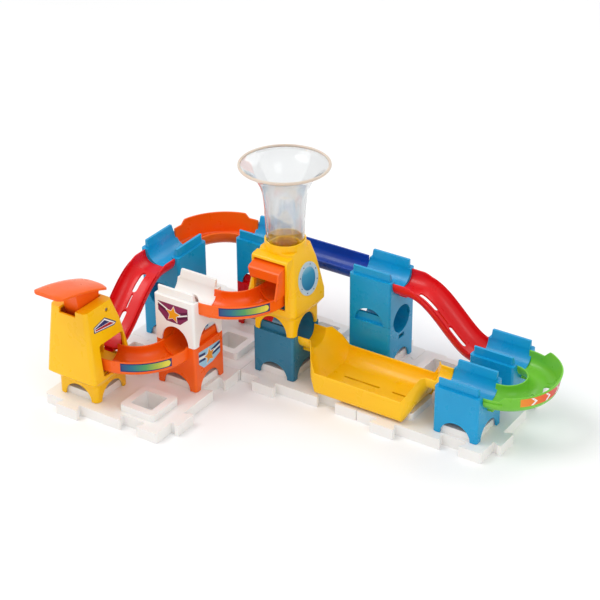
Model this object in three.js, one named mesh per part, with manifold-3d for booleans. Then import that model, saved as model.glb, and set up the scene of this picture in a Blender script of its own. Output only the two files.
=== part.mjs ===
// Marble run on four interlocking base plates: channel blocks stacked in towers,
// tracks, slides and a catch tray between them, a rocket tower with a clear funnel
// and a press launcher. Millimetres, +Z up. Grid cell (0, 0) is the launcher's cell and
// the finished group is moved so that its origin lies under the centre of plate a.
import * as THREE from 'three';
import { mergeVertices } from 'three/addons/utils/BufferGeometryUtils.js';
import Module from 'manifold-3d';

const wasm = await Module();
wasm.setup();

// ---------- driving dimensions ----------
const PITCH = 75;            // grid spacing between tower centres
const GAP = 0.3;             // clearance between separate pieces
const FAR = 200;             // length of a cutter that must pass right through

const PLATE_TOP = 12.8;
const STUD_TOP = 21.3;
const STUD_SIDE = 45;
const STUD_HOLE = 28;
const TAB_NECK = 22;
const TAB_TIP = 28;
const TAB_LENGTH = 10.5;

const BLOCK = 52;            // footprint of every block
const LEVEL = 54;            // height of one block from feet to shoulder
const SHELL = 2.3;
const WALL_RISE = 9.1;       // channel walls above the shoulder
const WALL_OUT = 22.4;       // outer face of a channel wall
const WALL_END = 22.9;       // end of a channel wall
const CHANNEL_R = 17;
const CHANNEL_Z = 55.7;      // axis of the channel floor above the feet
const JACKET_R = 19.3;       // underside of the channel floor
const ARCH_HALF = 17.8;
const ARCH_LOW = 17;
const ARCH_HIGH = 20.5;
const SLOT_Z = 31.2;         // lug slot below each channel end
const SLOT_TALL = 4.6;
const SLOT_HALF = 6;

const TRACK_HALF = 17;
const TRACK_WALL = 2;
const TRACK_ROUND = 14;      // bottom corner radius of a round-bottomed section
const TRACK_TIGHT = 5;       // bottom corner radius under a tall flat wall
const TRACK_BASE = 36.7;     // underside of a track above the level it belongs to
const RAIL = 15.5;           // plain rail, measured from the underside
const RAIL_END = 20;         // near wall of the straight track
const GUARD_LOW = 22.5;      // stepped-down end of the back curve's guard wall
const GUARD_BACK = 28;       // guard wall of the back curve
const TURN_WALL = 15;        // outer wall of the half-circle track at its front end,
const TURN_STEP = 5;         // its step up along the front half,
const TURN_RISE = 4;         // its further rise round the back
const TURN_DROP = 6;         // and its step down at the back end
const TURN_FLARE = 4;        // outward lean of the highest stretch
const TURN_ROUND = 11;       // bottom corner radius under the outer wall
const SLIDE_HALF = 21.5;
const SLIDE_RAIL = 16.6;     // rails at the level ends of a slide
const SLIDE_RAIL_STEEP = 12.4;
const SLIDE_FLAT = 15.5;     // level run at the top of a slide
const SLIDE_RUN = 81.5;      // plan length of the sloping part
const LEFT_SLOT_SHIFT = -4;   // its floor slots lie nearer one rail
const LEFT_ROUND = 13;       // bottom corner radius along that slide's other rail
const CURVE_R = 50;
const TURN_R = 37.5;
const TRACK_END = 1.3;       // tracks stop this far short of their nominal end

const LEVEL_0 = PLATE_TOP;
const LEVEL_1 = LEVEL_0 + LEVEL;
const HALF = BLOCK / 2;

const YELLOW = 0xf6be1a;
const ORANGE = 0xf26a12;
const RED = 0xd81e22;
const BLUE = 0x2aa5cc;
const TEAL = 0x3a768f;
const DEEP_BLUE = 0x153f9e;
const GREEN = 0x7cc63c;
const WHITE = 0xf0eeea;
const CLEAR = 0xe8eef0;
const STEEL = 0xb0b4b8;

// ---------- solids ----------
function signedVolume(position, index) {
  const a = new THREE.Vector3();
  const b = new THREE.Vector3();
  const c = new THREE.Vector3();
  let sum = 0;
  for (let i = 0; i < index.count; i += 3) {
    a.fromBufferAttribute(position, index.getX(i));
    b.fromBufferAttribute(position, index.getX(i + 1));
    c.fromBufferAttribute(position, index.getX(i + 2));
    sum += a.dot(b.cross(c)) / 6;
  }
  return sum;
}

function toSolid(geometry) {
  geometry.deleteAttribute('normal');
  geometry.deleteAttribute('uv');
  const merged = mergeVertices(geometry, 1e-4);
  const position = merged.getAttribute('position');
  const index = merged.getIndex();
  const triVerts = new Uint32Array(index.array);
  if (signedVolume(position, index) < 0) {
    for (let i = 0; i < triVerts.length; i += 3) {
      [triVerts[i], triVerts[i + 1]] = [triVerts[i + 1], triVerts[i]];
    }
  }
  const vertProperties = new Float32Array(position.array);
  return new wasm.Manifold(new wasm.Mesh({ numProp: 3, vertProperties, triVerts }));
}

function toShape(points) {
  return new THREE.Shape(points.map(([x, y]) => new THREE.Vector2(x, y)));
}

function extrude(shape, depth) {
  return new THREE.ExtrudeGeometry(shape, { depth, bevelEnabled: false });
}

// Outline in XY, raised from z0 to z1.
function prismZ(points, z0, z1) {
  const geometry = extrude(toShape(points), z1 - z0);
  return toSolid(geometry.translate(0, 0, z0));
}

// Outline in YZ, running from x0 to x1.
function prismX(points, x0, x1) {
  const turn = new THREE.Matrix4().set(0, 0, 1, x0, 1, 0, 0, 0, 0, 1, 0, 0, 0, 0, 0, 1);
  return toSolid(extrude(toShape(points), x1 - x0).applyMatrix4(turn));
}

// Outline in XZ, running from y0 to y1.
function prismY(points, y0, y1) {
  const turn = new THREE.Matrix4().set(1, 0, 0, 0, 0, 0, -1, y1, 0, 1, 0, 0, 0, 0, 0, 1);
  return toSolid(extrude(toShape(points), y1 - y0).applyMatrix4(turn));
}

function box(x0, x1, y0, y1, z0, z1) {
  return prismZ([[x0, y0], [x1, y0], [x1, y1], [x0, y1]], z0, z1);
}

function roundedOutline(x0, x1, y0, y1, radius, steps = 1) {
  const corners = [[x1 - radius, y1 - radius, 0], [x0 + radius, y1 - radius, 1],
    [x0 + radius, y0 + radius, 2], [x1 - radius, y0 + radius, 3]];
  return corners.flatMap(([cx, cy, quarter]) => arc(cx, cy, radius, quarter * 90,
    quarter * 90 + 90, steps));
}

function arc(cx, cy, radius, from, to, steps) {
  const points = [];
  for (let i = 0; i <= steps; i += 1) {
    const angle = THREE.MathUtils.degToRad(from + (to - from) * i / steps);
    points.push([cx + radius * Math.cos(angle), cy + radius * Math.sin(angle)]);
  }
  return points;
}

function circle(cx, cy, radius, steps = 20) {
  return arc(cx, cy, radius, 0, 360, steps).slice(0, -1);
}

function rodX(y, z, radius, x0, x1, steps = 12) {
  return prismX(circle(y, z, radius, steps), x0, x1);
}

function lathe(profile, steps) {
  const points = profile.map(([r, z]) => new THREE.Vector2(r, z));
  points.push(points[0].clone());
  const geometry = new THREE.LatheGeometry(points, steps);
  return toSolid(geometry.rotateX(Math.PI / 2));
}

// Skin through cross-sections that all have the same number of points.
// A station holds an origin, a side direction, an up direction and a profile.
function loft(stations) {
  const count = stations[0].profile.length;
  const vertices = [];
  for (const { origin, side, up, profile } of stations) {
    for (const [n, h] of profile) {
      const point = origin.clone().addScaledVector(side, n).addScaledVector(up, h);
      vertices.push(point.x, point.y, point.z);
    }
  }
  const faces = [];
  for (let s = 0; s < stations.length - 1; s += 1) {
    for (let i = 0; i < count; i += 1) {
      const a = s * count + i;
      const b = s * count + (i + 1) % count;
      faces.push(a, b, a + count, b, b + count, a + count);
    }
  }
  const last = (stations.length - 1) * count;
  for (const [a, b, c] of capFaces(stations[0].profile)) faces.push(a, c, b);
  for (const [a, b, c] of capFaces(stations.at(-1).profile)) {
    faces.push(last + a, last + b, last + c);
  }
  const geometry = new THREE.BufferGeometry();
  geometry.setAttribute('position', new THREE.Float32BufferAttribute(vertices, 3));
  geometry.setIndex(faces);
  return toSolid(geometry);
}

function capFaces(profile) {
  const outline = profile.map(([n, h]) => new THREE.Vector2(n, h));
  return THREE.ShapeUtils.triangulateShape(outline, []);
}

// Square-ish hollow tower skin: rings of rounded rectangles at rising heights.
function towerLoft(rings, radius, inset = 0) {
  const side = new THREE.Vector3(1, 0, 0);
  const up = new THREE.Vector3(0, 1, 0);
  return loft(rings.map(({ z, x0, x1, y0, y1 }) => ({
    origin: new THREE.Vector3(0, 0, z),
    side,
    up,
    profile: roundedOutline(x0 + inset, x1 - inset, y0 + inset, y1 - inset,
      Math.max(radius - inset, 1)),
  })));
}

function place(solid, x, y, z, turn = 0) {
  return solid.rotate([0, 0, turn]).translate([x, y, z]);
}

function union(...solids) {
  return solids.reduce((all, next) => all.add(next));
}

// ---------- meshes ----------
const model = new THREE.Group();
model.name = 'marble_run';

function addPiece(name, solid, color, extra = {}) {
  const data = solid.getMesh();
  const geometry = new THREE.BufferGeometry();
  geometry.setAttribute('position', new THREE.Float32BufferAttribute(data.vertProperties, 3));
  geometry.setIndex(new THREE.BufferAttribute(new Uint32Array(data.triVerts), 1));
  geometry.computeVertexNormals();
  const material = new THREE.MeshStandardMaterial({ color, roughness: 0.3, ...extra });
  material.name = `${name}_material`;
  const mesh = new THREE.Mesh(geometry, material);
  mesh.name = name;
  model.add(mesh);
}

// ---------- base plates ----------
// Dovetail drawn on the lower edge, pointing down, centred on x = 0. A clearance of
// zero gives the tab; a positive one gives the notch that takes it across the gap.
function dovetail(clearance) {
  const neck = TAB_NECK / 2 + clearance;
  const tip = TAB_TIP / 2 + clearance;
  const bend = TAB_LENGTH * 0.3 - 2 * clearance;
  const flare = TAB_LENGTH * 0.6 - 2 * clearance;
  return [[-neck, 1], [-neck, -bend], [-tip, -flare], [-tip, -TAB_LENGTH],
    [tip, -TAB_LENGTH], [tip, -flare], [neck, -bend], [neck, 1]];
}

function basePlate() {
  const edge = PITCH - GAP / 2;
  const cell = PITCH / 2;
  let plate = prismZ(roundedOutline(-edge, edge, -edge, edge, 3), 0, PLATE_TOP);
  for (let quarter = 0; quarter < 4; quarter += 1) {
    const tab = prismZ(dovetail(0), 0, PLATE_TOP);
    const notch = prismZ(dovetail(GAP), -1, PLATE_TOP + 1);
    const turned = quarter * 90;
    plate = plate.add(tab.translate([-cell, -edge, 0]).rotate([0, 0, turned]));
    plate = plate.subtract(notch.rotate([0, 0, 180]).translate([cell, -edge, 0])
      .rotate([0, 0, turned]));
  }
  const stud = STUD_SIDE / 2;
  const hole = STUD_HOLE / 2;
  for (const x of [-cell, cell]) {
    for (const y of [-cell, cell]) {
      plate = plate.add(prismZ(roundedOutline(x - stud, x + stud, y - stud, y + stud, 3),
        PLATE_TOP - 1, STUD_TOP));
      plate = plate.subtract(box(x - hole, x + hole, y - hole, y + hole, -1, STUD_TOP + 1));
    }
  }
  return plate;
}

const PLATES = { a: [0.5, 0.5], b: [0.5, 2.5], c: [2.5, 2.5], d: [4.5, 2.5] };
for (const [letter, [i, j]] of Object.entries(PLATES)) {
  addPiece(`base_plate_${letter}`, place(basePlate(), i * PITCH, j * PITCH, 0), WHITE);
}

// ---------- channel blocks ----------
function archOutline(half, height) {
  const top = arc(0, 0, 1, 0, 180, 6).map(([c, s]) => [half * c, height * s]);
  return [[half, -1], ...top, [-half, -1]];
}

function channelOutline(top) {
  const flare = WALL_OUT - 2.9;
  return [[-flare, top], ...arc(0, CHANNEL_Z, CHANNEL_R, 180, 360, 8), [flare, top]];
}

function lugSlots() {
  const slot = box(HALF - SHELL - 3, HALF + 1, -SLOT_HALF, SLOT_HALF, SLOT_Z, SLOT_Z + SLOT_TALL);
  return slot.add(slot.rotate([0, 0, 180]));
}

// Block with its channel along X, feet at z = 0.
function channelBlock({ archHeight = ARCH_LOW, dropHole = 0 } = {}) {
  const inner = HALF - SHELL;
  const shell = prismZ(roundedOutline(-HALF, HALF, -HALF, HALF, 3), GAP, LEVEL);
  const walls = box(-WALL_END, WALL_END, -WALL_OUT, WALL_OUT, LEVEL - 1, LEVEL + WALL_RISE);
  const cavity = prismZ(roundedOutline(-inner, inner, -inner, inner, 1), -1, LEVEL - SHELL);
  const jacket = rodX(0, CHANNEL_Z, JACKET_R, -HALF, HALF, 16);
  let block = shell.add(walls).subtract(cavity.subtract(jacket));
  block = block.subtract(prismX(channelOutline(LEVEL + FAR), -FAR, FAR));
  const arch = archOutline(ARCH_HALF, archHeight);
  block = block.subtract(prismX(arch, -FAR, FAR)).subtract(prismY(arch, -FAR, FAR));
  block = block.subtract(lugSlots());
  if (dropHole > 0) {
    block = block.subtract(prismZ(circle(0, 0, dropHole, 14), ARCH_HIGH + 5, FAR));
  }
  return block;
}

function addBlock(name, i, j, level, alongY, color, options) {
  const turn = alongY ? 90 : 0;
  addPiece(name, place(channelBlock(options), i * PITCH, j * PITCH, level, turn), color);
}

addBlock('pillar_orange', 1, 1, LEVEL_0, true, ORANGE);
addBlock('drop_block_white', 1, 1, LEVEL_1, false, WHITE,
  { archHeight: ARCH_HIGH, dropHole: 11 });
addBlock('block_teal', 2, 2, LEVEL_0, false, TEAL);
addBlock('block_front_right', 5, 2, LEVEL_0, false, BLUE);
addBlock('block_back_right', 5, 3, LEVEL_0, false, BLUE);
addBlock('tower_right_lower', 3, 3, LEVEL_0, false, BLUE);
addBlock('tower_right_upper', 3, 3, LEVEL_1, false, BLUE);
addBlock('tower_middle_lower', 1, 3, LEVEL_0, false, RED);
addBlock('tower_middle_upper', 1, 3, LEVEL_1, false, BLUE);
addBlock('tower_left_lower', 0, 2, LEVEL_0, true, BLUE);
addBlock('tower_left_upper', 0, 2, LEVEL_1, true, BLUE);

// ---------- tracks ----------
const BEND_STEPS = 2;        // straight pieces per bottom corner of a track section

// U-shaped section: n runs across the track, h rises from its underside.
function uSection({ half = TRACK_HALF, left = RAIL, right = RAIL, cornerL = TRACK_ROUND,
  cornerR = TRACK_ROUND, flare = 0 } = {}) {
  const inner = half - TRACK_WALL;
  return [
    [-half, left],
    ...arc(-half + cornerL, cornerL, cornerL, 180, 270, BEND_STEPS),
    ...arc(half - cornerR, cornerR, cornerR, 270, 360, BEND_STEPS),
    [half + flare, right],
    [inner + flare, right],
    ...arc(half - cornerR, cornerR, cornerR - TRACK_WALL, 360, 270, BEND_STEPS),
    ...arc(-half + cornerL, cornerL, cornerL - TRACK_WALL, 270, 180, BEND_STEPS),
    [-inner, left],
  ];
}

const UP = new THREE.Vector3(0, 0, 1);

// Station on a circular path; n points away from the centre.
function arcStation(centre, radius, degrees, z, profile) {
  const angle = THREE.MathUtils.degToRad(degrees);
  const side = new THREE.Vector3(Math.cos(angle), Math.sin(angle), 0);
  const origin = side.clone().multiplyScalar(radius);
  origin.add(new THREE.Vector3(centre[0], centre[1], z));
  return { origin, side, up: UP, profile };
}

// Hook under a track end; local +X points into the block, the nominal end is x = 0.
function lug() {
  const depth = TRACK_BASE - SLOT_Z - GAP;
  const face = -TRACK_END;
  const hook = [[face - 6, 2], [face - 6, -depth], [4, -depth], [4, -depth + 3.2],
    [face, -depth + 3.2], [face, 0.5], [face - 1, 2]];
  return prismY(hook, -SLOT_HALF + GAP, SLOT_HALF - GAP);
}

function lugAt(x, y, level, turn) {
  return place(lug(), x, y, level + TRACK_BASE, turn);
}

// Curved floor slot between two angles.
function arcSlot(centre, radius, from, to, half, z) {
  const inner = arc(centre[0], centre[1], radius - half, from, to, 5);
  const outer = arc(centre[0], centre[1], radius + half, to, from, 5);
  return prismZ([...inner, ...outer], z - 2, z + 4);
}

// Guard wall that steps down towards both ends; t runs from 0 to 1.
function steppedWall(t, low, high) {
  const rise = THREE.MathUtils.smoothstep(t, 0.1, 0.14);
  const fall = 1 - THREE.MathUtils.smoothstep(t, 0.86, 0.9);
  return low + (high - low) * Math.min(rise, fall);
}

// Fractions along a curved track; closer together where the wall steps.
const STEPS = [0, 0.1, 0.14, 0.3, 0.5, 0.7, 0.86, 0.9, 1];
const TURN_STEPS = [0, 0.05, 0.1, 0.14, 0.22, 0.31, 0.4, 0.5, 0.6, 0.69, 0.78, 0.86, 0.9, 0.95,
  1];

function curveTrack(centre, radius, from, to, level, section, steps = STEPS) {
  const z = level + TRACK_BASE;
  const stations = steps.map((t) => arcStation(centre, radius, from + (to - from) * t, z,
    section(t)));
  // Push both end faces out along the track so that they stop square at the block.
  const push = TRACK_END * Math.sign(to - from);
  for (const [station, sign] of [[stations[0], -push], [stations.at(-1), push]]) {
    const along = new THREE.Vector3(-station.side.y, station.side.x, 0);
    station.origin.addScaledVector(along, -sign);
  }
  return loft(stations);
}

// Catcher inside a tower: round channel along -Y closed by a horseshoe back wall.
function catcher(x, y, front, level) {
  const z = level + CHANNEL_Z;
  const radius = CHANNEL_R - GAP;
  const inner = radius - TRACK_WALL;
  const top = 16;
  const trough = (r, back) => prismY([[x + r, z + top + 1], [x - r, z + top + 1],
    ...arc(x, z, r, 180, 360, 8)], front - 2, back);
  const shoe = (r) => prismZ([[x - r, front - 1], [x + r, front - 1],
    ...arc(x, y, r, 0, 180, 8)], z - FAR, z + top);
  const scoop = prismX([[front - 3, z - 2], [y - 9, z - 2], [y + 6, z + top - 1],
    [y + 6, z + FAR], [front - 3, z + FAR]], x - FAR, x + FAR);
  const outer = shoe(radius).intersect(trough(radius, y + radius + 1));
  const hollow = shoe(inner).intersect(trough(inner, y + radius + 1));
  return outer.subtract(hollow.translate([0, -0.01, 0])).subtract(scoop);
}

// Quarter curve leaving a cell along +X and ending in the catcher of the next tower.
function frontCurve(cellX, cellY, level) {
  const centre = [cellX + PITCH - CURVE_R, cellY + CURVE_R];
  const track = curveTrack(centre, CURVE_R, -90, 0, level,
    () => uSection({ left: RAIL + 2, right: RAIL + 1, cornerR: TRACK_TIGHT }));
  const slot = arcSlot(centre, CURVE_R, -62, -28, 3.2, level + TRACK_BASE);
  return track.subtract(slot)
    .add(lugAt(centre[0], cellY, level, 180))
    .add(catcher(cellX + PITCH, cellY + PITCH, centre[1] - TRACK_END - 0.5, level));
}

addPiece('track_curve_lower', frontCurve(0, 0, LEVEL_0), ORANGE);
addPiece('track_curve_upper', frontCurve(PITCH, PITCH, LEVEL_1), ORANGE);

function backCurve() {
  const centre = [CURVE_R, 3 * PITCH - CURVE_R];
  const track = curveTrack(centre, CURVE_R, 180, 90, LEVEL_1, (t) => uSection({
    left: RAIL + 2,
    right: steppedWall(t, GUARD_LOW, GUARD_BACK),
    cornerR: TRACK_TIGHT,
  }));
  const slot = arcSlot(centre, CURVE_R - 3, 155, 108, 3.5, LEVEL_1 + TRACK_BASE);
  return track.subtract(slot).add(lugAt(0, centre[1], LEVEL_1, -90))
    .add(lugAt(centre[0], 3 * PITCH, LEVEL_1, 0));
}

addPiece('track_curve_back', backCurve(), ORANGE);

function turnTrack() {
  const centre = [5 * PITCH + PITCH / 3, 2.5 * PITCH];
  const z = LEVEL_0 + TRACK_BASE;
  const track = curveTrack(centre, TURN_R, -90, 90, LEVEL_0, (t) => {
    const step = THREE.MathUtils.smoothstep(t, 0.1, 0.14);
    const rise = THREE.MathUtils.smoothstep(t, 0.4, 0.69);
    const drop = THREE.MathUtils.smoothstep(t, 0.86, 0.9);
    return uSection({
      cornerR: TURN_ROUND,
      right: TURN_WALL + TURN_STEP * step + TURN_RISE * rise - TURN_DROP * drop,
      flare: TURN_FLARE * rise * (1 - drop),
    });
  }, TURN_STEPS);
  return track.subtract(arcSlot(centre, TURN_R + 4, -14, 26, 3.4, z))
    .subtract(arcSlot(centre, TURN_R - 5, -26, -6, 2.4, z))
    .add(lugAt(centre[0], 2 * PITCH, LEVEL_0, 180))
    .add(lugAt(centre[0], 3 * PITCH, LEVEL_0, 180));
}

addPiece('track_u_turn', turnTrack(), GREEN);

// Station on a straight run along X, seen from the side as x and z with a slope.
function runStation(x, z, slope, profile) {
  const up = new THREE.Vector3(Math.sin(slope), 0, Math.cos(slope));
  return { origin: new THREE.Vector3(x, 0, z), side: new THREE.Vector3(0, 1, 0), up, profile };
}

// Straight run between the facing sides of two blocks; starts at x = 0.
const RUN = 2 * PITCH - BLOCK - 2 * GAP;

function straightTrack() {
  const z = TRACK_BASE;
  const section = uSection({ right: RAIL_END });
  const track = loft([runStation(0, z, 0, section), runStation(RUN, z, 0, section)]);
  const start = TRACK_END - GAP;
  return track.subtract(box(14, RUN - 14, -1.5, 4.5, z - 1, z + 4))
    .add(place(lug(), start, 0, z, 180)).add(place(lug(), RUN - start, 0, z, 0));
}

addPiece('track_straight', place(straightTrack(), PITCH + HALF + GAP, 3 * PITCH, LEVEL_1),
  DEEP_BLUE);

function slideHeight(x) {
  return LEVEL * (1 - THREE.MathUtils.smoothstep(x, SLIDE_FLAT, SLIDE_FLAT + SLIDE_RUN));
}

function slideSlope(x) {
  return Math.atan2(slideHeight(x - 0.5) - slideHeight(x + 0.5), 1);
}

// Slide going down along +X by one level, with a row of slots in its floor.
function slide(slotShift = 0, cornerR = TRACK_ROUND) {
  const cuts = [0, 14, 24, 34, 43.7, 54, 64, 74, 84, 91, RUN];
  const stations = cuts.map((x) => {
    const slope = slideSlope(x);
    const ease = Math.min(1, slope / 0.5);
    const rail = SLIDE_RAIL + (SLIDE_RAIL_STEEP - SLIDE_RAIL) * ease;
    const section = uSection({ half: SLIDE_HALF, left: rail, right: rail, cornerR });
    return runStation(x, TRACK_BASE + slideHeight(x), slope, section);
  });
  const top = LEVEL + TRACK_BASE;
  const start = TRACK_END - GAP;
  return loft(stations)
    .subtract(box(22, 42.7, slotShift - 3, slotShift + 3, 0, FAR))
    .subtract(box(45.3, 56.3, slotShift - 0.8, slotShift + 0.8, 0, FAR))
    .subtract(box(58.3, 78, slotShift - 3, slotShift + 3, 0, FAR))
    .add(place(lug(), start, 0, top, 180))
    .add(place(lug(), RUN - start, 0, TRACK_BASE, 0));
}

addPiece('slide_right', place(slide(), 3 * PITCH + HALF + GAP, 3 * PITCH, LEVEL_0), RED);
addPiece('slide_left', place(slide(LEFT_SLOT_SHIFT, LEFT_ROUND), 0,
  2 * PITCH - HALF - GAP, LEVEL_0, -90), RED);

// ---------- catch tray ----------
const TRAY_HALF = 36.5;      // half width of the basin
const TRAY_LOW = 2;          // underside of the skirts above the plate top
const TRAY_FLOOR = 9.1;      // underside of the floor, clear of the studs
const TRAY_STEP = 23.6;      // half width of that clearance
const TRAY_RIM = 28;         // basin rim above the plate top
const TRAY_LIP = 53.5;       // channel lip above the plate top
const TRAY_NECK = 15;        // length of the narrow channel at each end
const TRAY_SLOPE = 18;       // plan length of the sloping end wall

// Open trough; n across, h above the plate top. The underside is raised over the studs.
function troughSection({ half, low, floor, rim, step, corner, bend }) {
  const inner = half - TRACK_WALL;
  const bed = floor + TRACK_WALL;
  return [
    [-half, rim],
    ...arc(-half + corner, low + corner, corner, 180, 270, 2),
    [-step, low],
    [-step, floor],
    [step, floor],
    [step, low],
    ...arc(half - corner, low + corner, corner, 270, 360, 2),
    [half, rim],
    [inner, rim],
    ...arc(inner - bend, bed + bend, bend, 360, 270, 3),
    ...arc(bend - inner, bed + bend, bend, 270, 180, 3),
    [-inner, rim],
  ];
}

function catchTray() {
  const length = 3 * PITCH - BLOCK - 2 * GAP;
  const neck = troughSection({ half: TRACK_HALF, low: TRACK_BASE, floor: TRACK_BASE + 0.3,
    rim: TRAY_LIP, step: 2, corner: TRACK_ROUND, bend: TRACK_ROUND - 2 });
  const shoulder = troughSection({ half: TRACK_HALF + 5, low: TRACK_BASE - 5,
    floor: TRACK_BASE - 4, rim: TRAY_LIP, step: 5, corner: TRACK_ROUND, bend: 14 });
  const middle = troughSection({ half: TRAY_HALF - 4, low: 14, floor: 16, rim: TRAY_RIM + 12,
    step: TRAY_STEP, corner: 7, bend: 17 });
  const basin = troughSection({ half: TRAY_HALF, low: TRAY_LOW, floor: TRAY_FLOOR,
    rim: TRAY_RIM, step: TRAY_STEP, corner: 6, bend: 16 });
  const half = [[0, neck], [TRAY_NECK, neck], [TRAY_NECK + 4, shoulder],
    [TRAY_NECK + 11, middle], [TRAY_NECK + TRAY_SLOPE, basin]];
  const far = half.map(([x, section]) => [length - x, section]).reverse();
  const stations = [...half, ...far].map(([x, section]) => runStation(x, 0, 0, section));
  const start = TRACK_END - GAP;
  return loft(stations)
    .subtract(box(48, 93, -1.2, 1.2, 0, TRAY_RIM))
    .subtract(box(108, 135, -1.2, 1.2, 0, TRAY_RIM))
    .add(place(lug(), start, 0, TRACK_BASE, 180))
    .add(place(lug(), length - start, 0, TRACK_BASE, 0));
}

addPiece('catch_tray', place(catchTray(), 2 * PITCH + HALF + GAP, 2 * PITCH, LEVEL_0), YELLOW);

// ---------- rocket tower, hood and funnel ----------
const ROCKET = [2 * PITCH, 2 * PITCH];
const COLLAR_R = 22.3;
const COLLAR_BORE = 20.9;
const COLLAR_TOP = 104.2;    // heights from here on are above the rocket's feet
const LEDGE_Z = 97;
const DROP_R = 16;
const HOOD_HALF = 19.5;
const MOUTH_TOP = 89.5;
const BROW_HALF = 22.3;      // frame round the mouth, proud of the sloping face
const FUNNEL_SIDES = 24;

function rocketRings() {
  return [[GAP, 26], [21, 26], [29, 31.5], [40.5, 31.5], [79, 25.3], [96.5, 20.8]]
    .map(([z, h]) => ({ z, x0: -h, x1: h, y0: -h, y1: h }));
}

function rocketTower() {
  const rings = rocketRings();
  const hollow = rings.map((ring) => ({ ...ring, z: Math.min(ring.z, 93) }));
  hollow[0].z = -1;
  let tower = towerLoft(rings, 4);
  tower = tower.add(prismZ(circle(0, 0, COLLAR_R, FUNNEL_SIDES), 90, COLLAR_TOP));
  tower = tower.subtract(towerLoft(hollow, 4, SHELL));
  tower = tower.subtract(prismZ(circle(0, 0, DROP_R, 16), 80, FAR));
  tower = tower.subtract(prismZ(circle(0, 0, COLLAR_BORE, FUNNEL_SIDES), LEDGE_Z, FAR));
  const brow = prismX([[-20, 94], [-29.5, 92.5], [-31, 90.5], [-31.5, 40.5], [-20, 40.5]],
    -BROW_HALF, BROW_HALF);
  tower = tower.add(brow.subtract(towerLoft(hollow, 4, SHELL)));
  const arch = archOutline(ARCH_HALF, ARCH_HIGH);
  tower = tower.subtract(prismX(arch, -FAR, FAR)).subtract(prismY(arch, -FAR, FAR));
  const side = HOOD_HALF + GAP;
  return tower.subtract(box(-side, side, -FAR, 0, TRACK_BASE - 1.5, MOUTH_TOP));
}

addPiece('rocket_tower', place(rocketTower(), ...ROCKET, LEVEL_1), YELLOW);

// Visor in the mouth, outlines as y and height: a sloping top that turns down into a
// front lip, a short left cheek, and a right cheek that reaches the track's wall.
const VISOR = [[-22, 88.8], [-40, 84.6], [-42, 82.4], [-39, 70.5], [-36.6, 71], [-39.2, 81.6],
  [-22, 86.2]];
const VISOR_OUTSIDE = VISOR.slice(0, 4);

function rocketHood() {
  const half = HOOD_HALF;
  const left = prismX([...VISOR_OUTSIDE, [-34, 66], [-22, 66]], -half, -half + TRACK_WALL);
  const right = prismX([...VISOR_OUTSIDE.slice(0, 3), [-43, 75], [-48.5, 54.8], [-22, 54.8]],
    half - TRACK_WALL, half);
  return union(prismX(VISOR, -half, half), left, right);
}

addPiece('rocket_hood', place(rocketHood(), ...ROCKET, LEVEL_1), ORANGE);

function funnel() {
  const outer = [[20.4, LEDGE_Z + GAP], [20.4, 105], [23.2, 150], [26.5, 165], [34, 178],
    [46, 187.5], [49, 189]];
  const inner = [[47.8, 191.2], [44, 189], [33, 180.6], [24.8, 166], [21.5, 150],
    [18.6, 105], [18.6, LEDGE_Z + GAP]];
  return lathe([...outer, ...inner], FUNNEL_SIDES);
}

addPiece('rocket_funnel', place(funnel(), ...ROCKET, LEVEL_1), CLEAR,
  { transparent: true, opacity: 0.35 });

// ---------- press launcher ----------
const PIVOT_Z = 116;         // lever pin height; the pin runs along X at y = 0
const PIN_R = 2;
const LEVER_HALF = 19.3;
const LEVER_THICK = 4.7;
const NECK_HALF = 9.5;
const LAUNCHER_TOP = 125;

function launcherRings() {
  return [
    { z: LEVEL_0 + GAP, x0: -26, x1: 26, y0: -26, y1: 26 },
    { z: 33, x0: -26, x1: 26, y0: -26, y1: 26 },
    { z: 43, x0: -33, x1: 33, y0: -36.5, y1: 30.5 },
    { z: 68, x0: -30.2, x1: 30.2, y0: -35.8, y1: 26.5 },
    { z: 98.5, x0: -26.8, x1: 26.8, y0: -34.9, y1: 20.5 },
    { z: LAUNCHER_TOP, x0: -23.6, x1: 23.6, y0: -34, y1: 11 },
  ];
}

function launcherTower() {
  const hollow = launcherRings().map((ring) => ({ ...ring, z: Math.min(ring.z, 122.3) }));
  hollow[0].z = 1;
  let tower = towerLoft(launcherRings(), 4).subtract(towerLoft(hollow, 4, SHELL));
  const arch = archOutline(ARCH_HALF, ARCH_LOW).map(([a, b]) => [a, b + LEVEL_0]);
  tower = tower.subtract(prismX(arch, -FAR, FAR)).subtract(prismY(arch, -FAR, FAR));
  tower = tower.subtract(box(-NECK_HALF - 1.3, NECK_HALF + 1.3, -FAR, 9, 118.5, FAR));
  tower = tower.subtract(box(20, FAR, -20, 19, 46, 83));
  tower = tower.subtract(box(-22, 22, 15, FAR, 46, 92));
  const shelf = box(-32, 28, -33, 23, 44, 47.5).intersect(towerLoft(launcherRings(), 4, 1));
  const basin = prismZ([...arc(0, 0, 21, 90, 270, 8), ...arc(0, 0, 18.6, 270, 90, 8)], 46, 58);
  tower = tower.add(shelf).add(basin);
  tower = tower.subtract(box(20.5, FAR, -SLOT_HALF, SLOT_HALF, 43.5, 47.8));
  tower = tower.subtract(box(-SLOT_HALF, SLOT_HALF, 22.9, FAR, 43.5, 47.8));
  tower = tower.add(rodX(0, PIVOT_Z, 4.5, -24, -20, 10)).add(rodX(0, PIVOT_Z, 4.5, 20, 24, 10));
  return tower.subtract(rodX(0, PIVOT_Z, PIN_R + GAP, -FAR, FAR, 12));
}

addPiece('launcher_tower', launcherTower(), YELLOW);

// Centre line of the press plate seen from the side: a gentle arch, high at -Y.
function leverLine(t) {
  const y = -64 + 77 * t;
  return [y, 152.6 - 20.5 * t + 12 * t * (1 - t)];
}

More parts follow.
